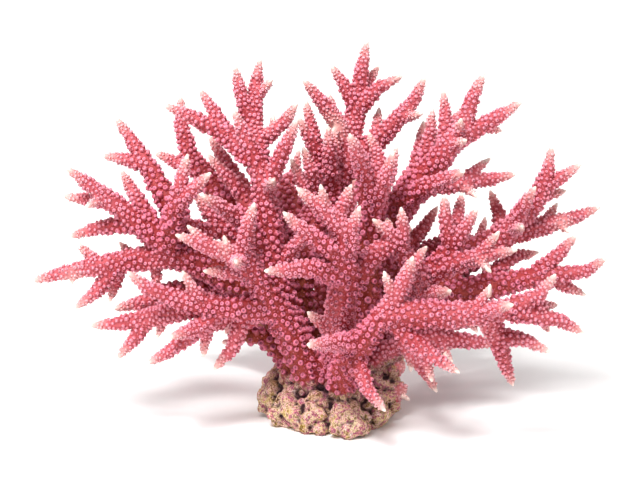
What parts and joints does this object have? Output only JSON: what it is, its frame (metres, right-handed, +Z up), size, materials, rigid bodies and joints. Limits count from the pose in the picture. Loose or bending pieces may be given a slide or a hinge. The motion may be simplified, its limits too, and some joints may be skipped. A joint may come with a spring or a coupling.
{
  "type": "branching coral",
  "caption": "Branching staghorn coral colony: tapering forked boughs with pale tips, fanning from a knobbly crusted holdfast that is cut flat underneath.",
  "frame": {"origin": "centre of the flat cut under the holdfast", "axes": "+Z up, out of the cut; +X along the colony's widest spread; -Y towards its fuller front"},
  "size_m": [0.227, 0.1422, 0.148],
  "materials": {
    "tissue": "matte",
    "crust": "matte"
  },
  "bodies": {
    "root": {"holdfast": "crust", "left_arch": "tissue", "tall_left_trunk": "tissue", "front_left_trunk": "tissue", "left_arm": "tissue", "back_center_trunk": "tissue", "front_left_hand": "tissue", "low_left_bough": "tissue", "low_left_fingers": "tissue", "low_left_back": "tissue", "hidden_left_branch": "tissue", "left_arm_low": "tissue", "left_arm_high": "tissue", "left_crest": "tissue", "left_spire": "tissue", "inner_left_hand": "tissue", "inner_left_back": "tissue", "left_back_spire": "tissue", "left_back_fan": "tissue", "left_top_bough": "tissue", "left_top_spires": "tissue", "front_center_trunk": "tissue", "center_crown": "tissue", "front_star_left": "tissue", "front_star_low": "tissue", "center_spire": "tissue", "center_spire_left": "tissue", "center_spire_right": "tissue", "center_left_spire": "tissue", "center_left_twins": "tissue", "center_left_pair": "tissue", "front_right_trunk": "tissue", "front_right_drooper": "tissue", "low_right_bough": "tissue", "low_right_drooper": "tissue", "low_right_fingers": "tissue", "right_arch": "tissue", "low_right_back": "tissue", "right_trunk": "tissue", "right_front_fork": "tissue", "front_center_bough": "tissue", "right_mid_bough": "tissue", "far_right_bough": "tissue", "right_crest": "tissue", "right_crest_back": "tissue", "right_crest_low": "tissue", "right_top_trunk": "tissue", "right_top_finger": "tissue", "right_top_low": "tissue", "right_top_side": "tissue", "right_back_twig": "tissue", "right_back_branch": "tissue", "back_left_trunk": "tissue", "back_center_trunk_low": "tissue", "back_right_trunk": "tissue", "back_low_left": "tissue", "back_low_right": "tissue", "back_top_left": "tissue", "back_top_right": "tissue"}
  },
  "joints": []
}
